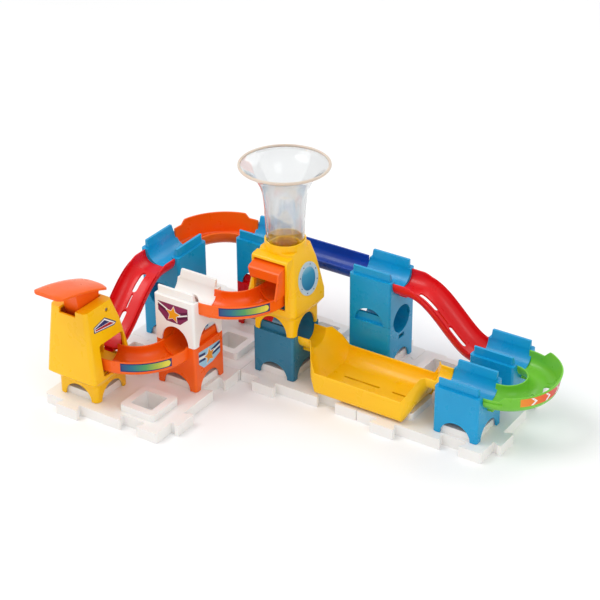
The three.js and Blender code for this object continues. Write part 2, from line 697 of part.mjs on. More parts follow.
function leverPlate() {
  const stations = [];
  for (let i = 0; i <= 8; i += 1) {
    const t = i / 8;
    const [y, z] = leverLine(t);
    const round = Math.max(0, 1 - t * 12) + Math.max(0, 1 - (1 - t) * 12);
    const half = LEVER_HALF - 3 * round;
    const rim = LEVER_THICK - 1.5;
    const crown = [[-half, 0], [half, 0], [half, rim], [half * 0.5, LEVER_THICK],
      [-half * 0.5, LEVER_THICK], [-half, rim]];
    const side = new THREE.Vector3(-1, 0, 0);
    stations.push({ origin: new THREE.Vector3(0, y, z), side, up: UP, profile: crown });
  }
  const recess = prismZ(circle(0, 0, 1, 16).map(([a, b]) => [9 * a, 20 * b]), 0, 10);
  const tilted = recess.rotate([-15, 0, 0]).translate([0, -24, 148.6 + LEVER_THICK - 0.9]);
  return loft(stations).subtract(tilted);
}

function lever() {
  const neck = prismX([[-30, 149], [-27, 124], [-22, 111], [-4, 109.5], [4, 110.5], [6.5, 116],
    [6.5, 125], [8.5, 137]], -NECK_HALF, NECK_HALF);
  return leverPlate().add(neck).subtract(rodX(0, PIVOT_Z, PIN_R + GAP, -FAR, FAR, 12));
}

addPiece('launcher_lever', lever(), ORANGE);

// Kicker hanging from the neck: a straight arm and a hood over the marble.
function kicker() {
  const side = [[-19, 109.9], [-19, 60], [-11, 60], [-10, 68], [-6, 73], [6, 74], [14, 71],
    [18, 72.5], [16, 80], [4, 86], [-9, 88], [-9, 109.2]];
  return prismX(side, -11, 11);
}

addPiece('launcher_kicker', kicker(), RED);

addPiece('launcher_pin', rodX(0, PIVOT_Z, PIN_R, -24, 24, 16), STEEL, { metalness: 0.8 });

// Torsion spring round the pin between the neck and the housing wall.
function spring() {
  const wire = 0.7;
  const coil = 4.2;
  const turns = 3;
  const points = [];
  for (let i = 0; i <= turns * 8; i += 1) {
    const angle = i * Math.PI / 4;
    points.push(new THREE.Vector3(11.2 + i * 0.28, coil * Math.cos(angle),
      PIVOT_Z + coil * Math.sin(angle)));
  }
  points.unshift(new THREE.Vector3(11.2, coil, PIVOT_Z - 10));
  points.push(new THREE.Vector3(11.2 + turns * 8 * 0.28, coil, PIVOT_Z - 12));
  const section = circle(0, 0, wire, 5);
  return loft(points.map((point, i) => springStation(points, i, section)));
}

function springStation(points, i, section) {
  const before = points[Math.max(i - 1, 0)];
  const after = points[Math.min(i + 1, points.length - 1)];
  const tangent = after.clone().sub(before).normalize();
  const side = new THREE.Vector3(1, 0, 0).addScaledVector(tangent, -tangent.x).normalize();
  return { origin: points[i], side, up: tangent.clone().cross(side), profile: section };
}

addPiece('launcher_spring', spring(), STEEL, { metalness: 0.8 });

model.position.set(-PITCH / 2, -PITCH / 2, 0);

export default model;
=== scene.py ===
import math

import bmesh
import bpy
from mathutils import Matrix, Vector


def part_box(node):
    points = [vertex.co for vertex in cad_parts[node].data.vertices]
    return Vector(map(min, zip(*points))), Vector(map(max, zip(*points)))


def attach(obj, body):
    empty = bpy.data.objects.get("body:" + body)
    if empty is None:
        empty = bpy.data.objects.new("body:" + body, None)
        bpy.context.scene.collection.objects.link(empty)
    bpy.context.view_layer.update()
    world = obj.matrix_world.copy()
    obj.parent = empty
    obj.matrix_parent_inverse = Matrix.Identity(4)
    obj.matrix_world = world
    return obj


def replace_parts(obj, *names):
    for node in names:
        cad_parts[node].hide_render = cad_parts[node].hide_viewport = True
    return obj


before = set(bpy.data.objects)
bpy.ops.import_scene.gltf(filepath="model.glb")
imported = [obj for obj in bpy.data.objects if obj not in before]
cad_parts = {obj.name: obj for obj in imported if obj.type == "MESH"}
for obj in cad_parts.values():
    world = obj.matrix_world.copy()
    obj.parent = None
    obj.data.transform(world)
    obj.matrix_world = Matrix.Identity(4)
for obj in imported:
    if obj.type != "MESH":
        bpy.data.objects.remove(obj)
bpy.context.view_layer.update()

# Looks of a marble run: every CAD node gets a smooth moulded shell, drawn in millimetres
# on the grid of tower cells and then moved into the frame. Grid cell (0, 0) is the launcher.
PIN_LOW, PIN_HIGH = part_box("launcher_pin")
GRID = Vector(((PIN_LOW.x + PIN_HIGH.x) / 2, (PIN_LOW.y + PIN_HIGH.y) / 2, 0))
MM = 0.001
FAR = 200

PITCH = 75
GAP = 0.3
PLATE_TOP = 12.8
STUD_TOP = 21.3
LEVEL = 54
LEVEL_0 = PLATE_TOP
LEVEL_1 = LEVEL_0 + LEVEL
HALF = 26
SHELL = 2.3
WALL_OUT = 22.4
WALL_END = 22.9
WALL_RISE = 9.1
CHANNEL_R = 17
CHANNEL_Z = 55.7
JACKET_R = 19.3
ARCH_HALF = 17.8
ARCH_LOW = 17
ARCH_HIGH = 20.5
SLOT_Z = 31.2
SLOT_TALL = 4.6
SLOT_HALF = 6

TRACK_HALF = 17
TRACK_WALL = 2
TRACK_ROUND = 14
TRACK_TIGHT = 5
TRACK_BASE = 36.7
TRACK_END = 1.3
RAIL = 15.5
CURVE_R = 50
TURN_R = 37.5
RUN = 2 * PITCH - 2 * HALF - 2 * GAP


# ---------- solids in millimetres ----------
def solid(vertices, faces):
    """Closed temporary object whose faces point out."""
    mesh = bpy.data.meshes.new("solid")
    mesh.from_pydata([tuple(v) for v in vertices], [], faces)
    form = bmesh.new()
    form.from_mesh(mesh)
    bmesh.ops.remove_doubles(form, verts=form.verts, dist=1e-4)
    bmesh.ops.recalc_face_normals(form, faces=form.faces)
    form.to_mesh(mesh)
    form.free()
    made = bpy.data.objects.new("solid", mesh)
    bpy.context.scene.collection.objects.link(made)
    return made


def baked(target):
    """Replace the object's mesh by what its modifiers make of it."""
    depsgraph = bpy.context.evaluated_depsgraph_get()
    mesh = bpy.data.meshes.new_from_object(target.evaluated_get(depsgraph))
    target.modifiers.clear()
    target.data = mesh
    return target


def boolean(base, operation, tools):
    for tool in tools:
        step = base.modifiers.new("boolean", "BOOLEAN")
        step.operation = operation
        step.solver = "MANIFOLD"
        step.object = tool
    baked(base)
    for tool in tools:
        bpy.data.objects.remove(tool)
    return base


def cut(base, *tools):
    return boolean(base, "DIFFERENCE", tools)


def join(base, *tools):
    return boolean(base, "UNION", tools)


def keep(base, *tools):
    return boolean(base, "INTERSECT", tools)


def copy(source):
    made = bpy.data.objects.new("solid", source.data.copy())
    bpy.context.scene.collection.objects.link(made)
    return made


def place(target, x=0, y=0, z=0, turn=0):
    matrix = Matrix.Translation((x, y, z)) @ Matrix.Rotation(math.radians(turn), 4, "Z")
    target.data.transform(matrix)
    return target


LAYOUT = {
    "x": lambda a, b, run: (run, a, b),
    "y": lambda a, b, run: (a, run, b),
    "z": lambda a, b, run: (a, b, run),
}


def prism(outline, axis, start, end):
    """Outline in the plane across the axis, run along it from start to end."""
    put = LAYOUT[axis]
    count = len(outline)
    vertices = [put(a, b, start) for a, b in outline] + [put(a, b, end) for a, b in outline]
    faces = [(i, (i + 1) % count, count + (i + 1) % count, count + i) for i in range(count)]
    faces += [tuple(reversed(range(count))), tuple(range(count, 2 * count))]
    return solid(vertices, faces)


def box(x0, x1, y0, y1, z0, z1):
    return prism([(x0, y0), (x1, y0), (x1, y1), (x0, y1)], "z", z0, z1)


def arc(cx, cy, radius, start, end, steps):
    angles = [math.radians(start + (end - start) * i / steps) for i in range(steps + 1)]
    return [(cx + radius * math.cos(a), cy + radius * math.sin(a)) for a in angles]


def circle(cx, cy, radius, steps=48):
    return arc(cx, cy, radius, 0, 360, steps)[:-1]


def rounded(x0, x1, y0, y1, radius, steps=5):
    corners = [(x1 - radius, y1 - radius), (x0 + radius, y1 - radius),
               (x0 + radius, y0 + radius), (x1 - radius, y0 + radius)]
    points = []
    for quarter, (cx, cy) in enumerate(corners):
        points += arc(cx, cy, radius, quarter * 90, quarter * 90 + 90, steps)
    return points


def lathe(profile, steps=96):
    """Closed profile of radius and height, turned round the Z axis."""
    count = len(profile)
    vertices = []
    faces = []
    for s in range(steps):
        angle = 2 * math.pi * s / steps
        vertices += [(r * math.cos(angle), r * math.sin(angle), z) for r, z in profile]
        after = (s + 1) % steps
        for i in range(count):
            j = (i + 1) % count
            faces.append((s * count + i, s * count + j, after * count + j, after * count + i))
    return solid(vertices, faces)


def loft(stations):
    """Skin through cross-sections; a station is an origin, a side, an up and a profile."""
    count = len(stations[0][3])
    vertices = [origin + side * n + up * h for origin, side, up, profile in stations
                for n, h in profile]
    faces = []
    for s in range(len(stations) - 1):
        for i in range(count):
            a = s * count + i
            b = s * count + (i + 1) % count
            faces.append((a, b, b + count, a + count))
    last = (len(stations) - 1) * count
    faces += [tuple(reversed(range(count))), tuple(range(last, last + count))]
    return solid(vertices, faces)


def tower(rings, radius, inset=0):
    """Hollow-able skin through rounded rectangles (height, x0, x1, y0, y1)."""
    stations = []
    for z, x0, x1, y0, y1 in rings:
        profile = rounded(x0 + inset, x1 - inset, y0 + inset, y1 - inset, max(radius - inset, 1))
        stations.append((Vector((0, 0, z)), Vector((1, 0, 0)), Vector((0, 1, 0)), profile))
    return loft(stations)


def spread(start, end, steps):
    return [start + (end - start) * i / steps for i in range(steps + 1)]


def smoothstep(value, low, high):
    t = min(max((value - low) / (high - low), 0), 1)
    return t * t * (3 - 2 * t)


def through(points, steps=6):
    """Catmull-Rom curve through points."""
    ends = [points[0]] + list(points) + [points[-1]]
    curve = []
    for i in range(1, len(ends) - 2):
        p0, p1, p2, p3 = (Vector(p) for p in ends[i - 1:i + 3])
        for s in range(steps):
            t = s / steps
            curve.append(0.5 * (2 * p1 + (p2 - p0) * t + (2 * p0 - 5 * p1 + 4 * p2 - p3) * t ** 2
                                + (3 * p1 - p0 - 3 * p2 + p3) * t ** 3))
    return [tuple(p) for p in curve] + [tuple(points[-1])]


# ---------- materials ----------
def linear(hexa):
    """Linear colour from an sRGB hex string."""
    channels = [int(hexa[i:i + 2], 16) / 255 for i in (0, 2, 4)]
    straight = [c / 12.92 if c <= 0.04045 else ((c + 0.055) / 1.055) ** 2.4 for c in channels]
    return (*straight, 1)


class Graph:
    """Small helper that adds and links the nodes of one material."""

    def __init__(self, name):
        self.material = bpy.data.materials.new(name)
        self.material.use_nodes = True
        self.tree = self.material.node_tree
        self.shader = self.tree.nodes["Principled BSDF"]
        self.place = self.node("ShaderNodeTexCoord").outputs["Object"]

    def node(self, kind, **settings):
        made = self.tree.nodes.new(kind)
        for key, value in settings.items():
            setattr(made, key, value)
        return made

    def link(self, output, target):
        self.tree.links.new(output, target)

    def noise(self, scale, detail=2.0):
        made = self.node("ShaderNodeTexNoise")
        made.inputs["Scale"].default_value = scale
        made.inputs["Detail"].default_value = detail
        self.link(self.place, made.inputs["Vector"])
        return made.outputs["Fac"]

    def remap(self, value, low, high, start=0.3, end=0.7):
        made = self.node("ShaderNodeMapRange")
        for key, number in (("From Min", start), ("From Max", end), ("To Min", low), ("To Max", high)):
            made.inputs[key].default_value = number
        self.link(value, made.inputs["Value"])
        return made.outputs["Result"]

    def ramp(self, value, stops):
        made = self.node("ShaderNodeValToRGB")
        elements = made.color_ramp.elements
        while len(elements) < len(stops):
            elements.new(0.5)
        for element, (position, colour) in zip(elements, stops):
            element.position = position
            element.color = linear(colour)
        self.link(value, made.inputs["Fac"])
        return made.outputs["Color"]

    def bump(self, height, strength, distance=0.0003):
        made = self.node("ShaderNodeBump")
        made.inputs["Strength"].default_value = strength
        made.inputs["Distance"].default_value = distance
        self.link(height, made.inputs["Height"])
        self.link(made.outputs["Normal"], self.shader.inputs["Normal"])
        return made


def moulded(graph, roughness, grain=0.12):
    """Finish shared by the plastics: uneven gloss and a faint moulded grain."""
    gloss = graph.remap(graph.noise(60, 3), roughness - 0.05, roughness + 0.07)
    graph.link(gloss, graph.shader.inputs["Roughness"])
    graph.bump(graph.noise(900, 3), grain)
    graph.shader.inputs["IOR"].default_value = 1.42
    graph.shader.inputs["Specular IOR Level"].default_value = 0.4
    graph.shader.inputs["Coat Weight"].default_value = 0.12
    graph.shader.inputs["Coat Roughness"].default_value = 0.08
    return graph.material


def plastic(name, colour, shade, roughness=0.3, depth=0.12):
    """Coloured plastic that drifts between two close tones."""
    graph = Graph(name)
    tint = graph.ramp(graph.noise(22, 2), [(0.3, shade), (0.7, colour)])
    graph.link(tint, graph.shader.inputs["Base Color"])
    graph.shader.inputs["Subsurface Weight"].default_value = depth
    graph.shader.inputs["Subsurface Radius"].default_value = (1, 0.6, 0.4)
    graph.shader.inputs["Subsurface Scale"].default_value = 0.003
    return moulded(graph, roughness)


def print_and_highlight_film(name, axis, start, end, stops):
    """Film whose colour runs along one axis of the frame, in metres: printed colour on the labels, a
    painted highlight on the porthole window.
    """
    graph = Graph(name)
    split = graph.node("ShaderNodeSeparateXYZ")
    graph.link(graph.place, split.inputs["Vector"])
    along = graph.remap(split.outputs[axis], 0, 1, start, end)
    cells = graph.node("ShaderNodeTexVoronoi")
    cells.inputs["Scale"].default_value = 650
    graph.link(graph.place, cells.inputs["Vector"])
    mottle = graph.remap(cells.outputs["Distance"], -0.03, 0.03, 0, 1)
    total = graph.node("ShaderNodeMath", operation="ADD")
    graph.link(along, total.inputs[0])
    graph.link(mottle, total.inputs[1])
    graph.link(graph.ramp(total.outputs[0], stops), graph.shader.inputs["Base Color"])
    return moulded(graph, 0.36, 0.04)


def clear_plastic(name):
    graph = Graph(name)
    shader = graph.shader
    haze = graph.remap(graph.noise(35, 3), 0.015, 0.07)
    graph.link(haze, shader.inputs["Roughness"])
    tint = graph.ramp(graph.noise(12, 2), [(0.3, "F0F2F3"), (0.7, "F7F8F8")])
    graph.link(tint, shader.inputs["Base Color"])
    shader.inputs["Transmission Weight"].default_value = 1
    shader.inputs["IOR"].default_value = 1.45
    graph.bump(graph.noise(60, 2), 0.05)
    see = graph.node("ShaderNodeBsdfTransparent")
    see.inputs["Color"].default_value = linear("F3F4F4")
    facing = graph.node("ShaderNodeLayerWeight")
    facing.inputs["Blend"].default_value = 0.35
    share = graph.remap(facing.outputs["Facing"], 0.35, 0.0, 0, 1)
    path = graph.node("ShaderNodeLightPath")
    most = graph.node("ShaderNodeMath", operation="MAXIMUM")
    graph.link(path.outputs["Is Shadow Ray"], most.inputs[0])
    graph.link(share, most.inputs[1])
    mix = graph.node("ShaderNodeMixShader")
    graph.link(most.outputs[0], mix.inputs["Fac"])
    graph.link(shader.outputs["BSDF"], mix.inputs[1])
    graph.link(see.outputs["BSDF"], mix.inputs[2])
    graph.link(mix.outputs["Shader"], graph.tree.nodes["Material Output"].inputs["Surface"])
    return graph.material


def brushed_steel(name):
    graph = Graph(name)
    tint = graph.ramp(graph.noise(150, 4), [(0.3, "8E9398"), (0.7, "C4C8CC")])
    graph.link(tint, graph.shader.inputs["Base Color"])
    graph.shader.inputs["Metallic"].default_value = 1
    graph.link(graph.remap(graph.noise(400, 2), 0.22, 0.38), graph.shader.inputs["Roughness"])
    graph.bump(graph.noise(1500, 2), 0.15)
    return graph.material


WHITE = plastic("white_plastic", "F6F4F1", "F1EEEA", 0.34, 0.1)
ORANGE = plastic("orange_plastic", "FB6A0C", "F45E08")
RED = plastic("red_plastic", "E8141A", "DA1016")
YELLOW = plastic("yellow_plastic", "FFC60A", "FDC006")
BLUE = plastic("blue_plastic", "12A0D6", "0E98CC")
TEAL = plastic("teal_plastic", "2F7C9C", "286F8E")
DEEP_BLUE = plastic("deep_blue_plastic", "1446AE", "103B9A")
GREEN = plastic("green_plastic", "7CCB3C", "70C034")
CLEAR = clear_plastic("clear_plastic")
STEEL = brushed_steel("spring_steel")
RIM = plastic("rim_plastic", "DDCFC0", "D2C2B2", 0.3, 0.3)
SILVER = plastic("silver_film", "C3D3DC", "A9BDCB", 0.25, 0)
# Porthole window: blue that pales towards the top; the pale top is a painted highlight on the glass.
WINDOW_WITH_PAINTED_HIGHLIGHT = print_and_highlight_film("window_with_painted_highlight", "Z", 0.112, 0.146,
                 [(0, "1E5F8C"), (0.35, "2C7DA6"), (0.7, "3F93B5"), (1, "9CC9D8")])
NAVY = plastic("navy_film", "26346F", "1F2C62", 0.35, 0)
GOLD = plastic("gold_film", "F2A41E", "E28E12", 0.35, 0)
PLUM = plastic("plum_film", "8A2F5C", "76264E", 0.35, 0)
DARK_PLUM = plastic("dark_plum_film", "5C1440", "4E1036", 0.35, 0)
PALE_BLUE = plastic("pale_blue_film", "A9D3EA", "98C6E0", 0.35, 0)
PAPER = plastic("white_film", "F4F4F2", "EDEDEA", 0.35, 0)
CRIMSON = plastic("crimson_film", "B3202E", "A01A28", 0.35, 0)


# ---------- finished pieces ----------
def finish(name, form, material, slot, body, soften=0.5, angle=38):
    """Round the edges, shade, scale to metres and move into the frame."""
    form.name = name
    form.data.name = name
    edit = bmesh.new()
    edit.from_mesh(form.data)
    bmesh.ops.remove_doubles(edit, verts=edit.verts, dist=0.01)
    bmesh.ops.dissolve_limit(edit, angle_limit=math.radians(0.5), verts=edit.verts, edges=edit.edges)
    edit.to_mesh(form.data)
    edit.free()
    if soften:
        bevel = form.modifiers.new("soft edges", "BEVEL")
        bevel.width = soften
        bevel.segments = 2
        bevel.limit_method = "ANGLE"
        bevel.angle_limit = math.radians(angle)
        baked(form)
    form.data.transform(Matrix.Translation(GRID) @ Matrix.Scale(MM, 4))
    form.data.shade_smooth()
    form.data.set_sharp_from_angle(angle=math.radians(angle))
    form.modifiers.new("even shading", "WEIGHTED_NORMAL").keep_sharp = True
    form.data.materials.clear()
    form.data.materials.append(material)
    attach(form, body)
    return form


def shell(node, form, material, slot, body="stand", soften=0.5):
    """Finished piece that stands for a CAD node."""
    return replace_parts(finish(node + "_shell", form, material, slot, body, soften), node)


# ---------- base plates ----------
def dovetail(clearance):
    neck = 11 + clearance
    tip = 14 + clearance
    bend = 3.15 - 2 * clearance
    flare = 6.3 - 2 * clearance
    return [(-neck, 1), (-neck, -bend), (-tip, -flare), (-tip, -10.5),
            (tip, -10.5), (tip, -flare), (neck, -bend), (neck, 1)]


def base_plate():
    edge = PITCH - GAP / 2
    cell = PITCH / 2
    plate = prism(rounded(-edge, edge, -edge, edge, 3), "z", 0, PLATE_TOP)
    for quarter in range(4):
        turned = quarter * 90
        tab = place(prism(dovetail(0), "z", 0, PLATE_TOP), -cell, -edge)
        notch = place(prism(dovetail(GAP), "z", -1, PLATE_TOP + 1), turn=180)
        join(plate, place(tab, turn=turned))
        cut(plate, place(place(notch, cell, -edge), turn=turned))
    for x in (-cell, cell):
        for y in (-cell, cell):
            join(plate, prism(rounded(x - 22.5, x + 22.5, y - 22.5, y + 22.5, 4), "z",
                              PLATE_TOP - 1, STUD_TOP))
            cut(plate, prism(rounded(x - 14, x + 14, y - 14, y + 14, 2), "z", -1, STUD_TOP + 1))
    return plate


def add_plates():
    plate = base_plate()
    for letter, i, j in (("a", 0.5, 0.5), ("b", 0.5, 2.5), ("c", 2.5, 2.5), ("d", 4.5, 2.5)):
        form = place(copy(plate), i * PITCH, j * PITCH)
        shell(f"base_plate_{letter}", form, WHITE, "white_plastic", soften=0.8)
    bpy.data.objects.remove(plate)


# ---------- channel blocks ----------
def arch(half, height):
    return [(half, -1)] + [(half * a, height * b) for a, b in arc(0, 0, 1, 0, 180, 18)] + [(-half, -1)]


def channel_block(arch_height=ARCH_LOW, drop_hole=0):
    """Block with its channel along X and its feet at height zero."""
    inner = HALF - SHELL
    flare = WALL_OUT - 2.9
    block = prism(rounded(-HALF, HALF, -HALF, HALF, 3), "z", GAP, LEVEL)
    walls = prism(rounded(-WALL_END, WALL_END, -WALL_OUT, WALL_OUT, 1.2), "z", LEVEL - 1,
                  LEVEL + WALL_RISE)
    cavity = prism(rounded(-inner, inner, -inner, inner, 1), "z", -1, LEVEL - SHELL)
    cut(cavity, prism(circle(0, CHANNEL_Z, JACKET_R), "x", -HALF, HALF))
    join(block, walls)
    cut(block, cavity)
    trough = [(-flare, FAR)] + arc(0, CHANNEL_Z, CHANNEL_R, 180, 360, 28) + [(flare, FAR)]
    trough = [(-flare, FAR), (-flare, LEVEL + WALL_RISE)] + trough[1:-1]
    trough += [(flare, LEVEL + WALL_RISE), (flare, FAR)]
    cut(block, prism(trough, "x", -FAR, FAR))
    outline = arch(ARCH_HALF, arch_height)
    cut(block, prism(outline, "x", -FAR, FAR))
    cut(block, prism(outline, "y", -FAR, FAR))
    for side in (-1, 1):
        ends = sorted((side * (HALF - SHELL - 3), side * (HALF + 1)))
        cut(block, box(*ends, -SLOT_HALF, SLOT_HALF, SLOT_Z, SLOT_Z + SLOT_TALL))
    if drop_hole:
        cut(block, prism(circle(0, 0, drop_hole), "z", ARCH_HIGH + 5, FAR))
    return block


BLOCKS = [
    ("pillar_orange", 1, 1, LEVEL_0, 90, ORANGE, "orange_plastic"),
    ("block_teal", 2, 2, LEVEL_0, 0, TEAL, "teal_plastic"),
    ("block_front_right", 5, 2, LEVEL_0, 0, BLUE, "blue_plastic"),
    ("block_back_right", 5, 3, LEVEL_0, 0, BLUE, "blue_plastic"),
    ("tower_right_lower", 3, 3, LEVEL_0, 0, BLUE, "blue_plastic"),
    ("tower_right_upper", 3, 3, LEVEL_1, 0, BLUE, "blue_plastic"),
    ("tower_middle_lower", 1, 3, LEVEL_0, 0, RED, "red_plastic"),
    ("tower_middle_upper", 1, 3, LEVEL_1, 0, BLUE, "blue_plastic"),
    ("tower_left_lower", 0, 2, LEVEL_0, 90, BLUE, "blue_plastic"),
    ("tower_left_upper", 0, 2, LEVEL_1, 90, BLUE, "blue_plastic"),
]


def add_blocks():
    plain = channel_block()
    for node, i, j, level, turn, material, slot in BLOCKS:
        form = place(copy(plain), i * PITCH, j * PITCH, level, turn)
        shell(node, form, material, slot)
    bpy.data.objects.remove(plain)
    drop = place(channel_block(ARCH_HIGH, 11), PITCH, PITCH, LEVEL_1)
    shell("drop_block_white", drop, WHITE, "white_plastic")


# ---------- tracks ----------
UP = Vector((0, 0, 1))


def u_section(half=TRACK_HALF, left=RAIL, right=RAIL, corner_l=TRACK_ROUND,
              corner_r=TRACK_ROUND, flare=0):
    """U-shaped section with rounded rail tops; n runs across, h from the underside."""
    bend = 8
    middle = half - TRACK_WALL / 2
    lip = TRACK_WALL / 2
    return (arc(-half + corner_l, corner_l, corner_l, 180, 270, bend)
            + arc(half - corner_r, corner_r, corner_r, 270, 360, bend)
            + arc(middle + flare, right - lip, lip, 0, 180, 6)
            + arc(half - corner_r, corner_r, corner_r - TRACK_WALL, 360, 270, bend)
            + arc(-half + corner_l, corner_l, corner_l - TRACK_WALL, 270, 180, bend)
            + arc(-middle, left - lip, lip, 0, 180, 6))


def arc_station(centre, radius, degrees, z, profile):
    angle = math.radians(degrees)
    side = Vector((math.cos(angle), math.sin(angle), 0))
    return [Vector((*centre, z)) + side * radius, side, UP, profile]


def curve_track(centre, radius, start, end, level, section, steps=48):
    z = level + TRACK_BASE
    stations = [arc_station(centre, radius, start + (end - start) * t, z, section(t))
                for t in spread(0, 1, steps)]
    push = TRACK_END if end > start else -TRACK_END
    for station, sign in ((stations[0], -1), (stations[-1], 1)):
        station[0] += Vector((-station[1].y, station[1].x, 0)) * push * sign
    return loft(stations)


def lug(x, y, z, turn):
    """Hook under a track end; local +X points into the block."""
    depth = TRACK_BASE - SLOT_Z - GAP
    face = -TRACK_END
    hook = [(face - 6, 2), (face - 6, -depth), (4, -depth), (4, -depth + 3.2),
            (face, -depth + 3.2), (face, 0.5), (face - 1, 2)]
    form = prism(hook, "y", -SLOT_HALF + GAP, SLOT_HALF - GAP)
    return place(form, x, y, z, turn)


def arc_slot(centre, radius, start, end, half, z):
    """Floor slot with round ends along an arc."""
    first = arc_point(centre, radius, start)
    last = arc_point(centre, radius, end)
    turn = 1 if end > start else -1
    near = arc(*first, half, start + 180, start + 180 + 180 * turn, 8)
    far = arc(*last, half, end, end + 180 * turn, 8)
    outline = (arc(*centre, radius - half, start, end, 16)[::-1] + near[1:-1]
               + arc(*centre, radius + half, start, end, 16) + far[1:-1])
    return prism(outline, "z", z - 2, z + 4)


def arc_point(centre, radius, degrees):
    return arc(*centre, radius, degrees, degrees, 1)[0]


def stepped(t, low, high):
    rise = smoothstep(t, 0.09, 0.15)
    fall = 1 - smoothstep(t, 0.85, 0.91)
    return low + (high - low) * min(rise, fall)


def catcher(x, y, front, level):
    """Horseshoe end wall that stops the marble inside a tower."""
    z = level + CHANNEL_Z
    radius = CHANNEL_R - GAP
    inner = radius - TRACK_WALL
    top = 16

    def trough(r):
        return prism([(x + r, z + top + 1), (x - r, z + top + 1)] + arc(x, z, r, 180, 360, 32),
                     "y", front - 2, y + radius + 1)

    def shoe(r):
        return prism([(x - r, front - 1), (x + r, front - 1)] + arc(x, y, r, 0, 180, 32),
                     "z", z - FAR, z + top)

    scoop = prism([(front - 3, z - 2), (y - 9, z - 2), (y + 6, z + top - 1), (y + 6, z + FAR),
                   (front - 3, z + FAR)], "x", x - FAR, x + FAR)
    outer = keep(shoe(radius), trough(radius))
    hollow = place(keep(shoe(inner), trough(inner)), 0, -0.01)
    return cut(cut(outer, hollow), scoop)


def front_curve(cell, level):
    centre = (cell + PITCH - CURVE_R, cell + CURVE_R)
    track = curve_track(centre, CURVE_R, -90, 0, level,
                        lambda t: u_section(left=RAIL + 2, right=RAIL + 1, corner_r=TRACK_TIGHT))
    cut(track, arc_slot(centre, CURVE_R, -62, -28, 3.2, level + TRACK_BASE))
    join(track, lug(centre[0], cell, level + TRACK_BASE, 180))
    return join(track, catcher(cell + PITCH, cell + PITCH, centre[1] - TRACK_END - 0.5, level))


def back_curve():
    centre = (CURVE_R, 3 * PITCH - CURVE_R)
    base = LEVEL_1 + TRACK_BASE
    track = curve_track(centre, CURVE_R, 180, 90, LEVEL_1, lambda t: u_section(
        left=RAIL + 2, right=stepped(t, 22.5, 28), corner_r=TRACK_TIGHT), 72)
    cut(track, arc_slot(centre, CURVE_R - 3, 155, 108, 3.5, base))
    join(track, lug(0, centre[1], base, -90))
    return join(track, lug(centre[0], 3 * PITCH, base, 0))


TURN_CENTRE = (5 * PITCH + PITCH / 3, 2.5 * PITCH)
TURN_ROUND = 11
TURN_FLARE = 3.2


def turn_wall(t):
    """Height and outward lean of the half-circle's outer wall at fraction t."""
    rise = smoothstep(t, 0.4, 0.69)
    drop = smoothstep(t, 0.86, 0.9)
    height = 15 + 5 * smoothstep(t, 0.1, 0.14) + 4 * rise - 6 * drop
    return height, TURN_FLARE * rise * (1 - drop)


def turn_section(t):
    height, lean = turn_wall(t)
    return u_section(right=height, corner_r=TURN_ROUND, flare=lean)


def u_turn():
    base = LEVEL_0 + TRACK_BASE
    track = curve_track(TURN_CENTRE, TURN_R, -90, 90, LEVEL_0, turn_section, 90)
    rib = [(16, 8.6), (18.4, 8.6), (18.4, 12), (16, 12)]
    join(track, loft([arc_station(TURN_CENTRE, TURN_R, a, base, rib) for a in spread(-88, -67, 12)]))
    cut(track, arc_slot(TURN_CENTRE, TURN_R + 4, -14, 26, 3.4, base))
    cut(track, arc_slot(TURN_CENTRE, TURN_R - 5, -26, -6, 2.4, base))
    join(track, lug(TURN_CENTRE[0], 2 * PITCH, base, 180))
    return join(track, lug(TURN_CENTRE[0], 3 * PITCH, base, 180))


def run_station(x, z, slope, profile):
    up = Vector((math.sin(slope), 0, math.cos(slope)))
    return (Vector((x, 0, z)), Vector((0, 1, 0)), up, profile)


def long_slot(x0, x1, y, half):
    """Slot with round ends along X, cut right through."""
    outline = (arc(x1 - half, y, half, -90, 90, 8) + arc(x0 + half, y, half, 90, 270, 8))
    return prism(outline, "z", 0, FAR)


def straight_track():
    section = u_section(right=20)
    track = loft([run_station(x, TRACK_BASE, 0, section) for x in spread(0, RUN, 6)])
    cut(track, long_slot(14, RUN - 14, 1.5, 3))
    start = TRACK_END - GAP
    join(track, lug(start, 0, TRACK_BASE, 180))
    return join(track, lug(RUN - start, 0, TRACK_BASE, 0))


SLIDE_HALF = 21.5
SLIDE_RAIL = 16.6
SLIDE_RAIL_STEEP = 12.4
SLIDE_FLAT = 15.5
SLIDE_RUN = 81.5


def slide_height(x):
    return LEVEL * (1 - smoothstep(x, SLIDE_FLAT, SLIDE_FLAT + SLIDE_RUN))


def slide(shift=0):
    """Slide that goes down along +X by one level."""
    stations = []
    for x in spread(0, RUN, 48):
        slope = math.atan2(slide_height(x - 0.5) - slide_height(x + 0.5), 1)
        ease = min(1, slope / 0.5)
        rail = SLIDE_RAIL + (SLIDE_RAIL_STEEP - SLIDE_RAIL) * ease
        section = u_section(half=SLIDE_HALF, left=rail, right=rail)
        stations.append(run_station(x, TRACK_BASE + slide_height(x), slope, section))
    form = loft(stations)
    for x0, x1, half in ((21, 43.6, 3), (44.6, 57.6, 1), (58.6, 79.5, 3)):
        cut(form, long_slot(x0, x1, shift, half))
    start = TRACK_END - GAP
    join(form, lug(start, 0, LEVEL + TRACK_BASE, 180))
    return join(form, lug(RUN - start, 0, TRACK_BASE, 0))


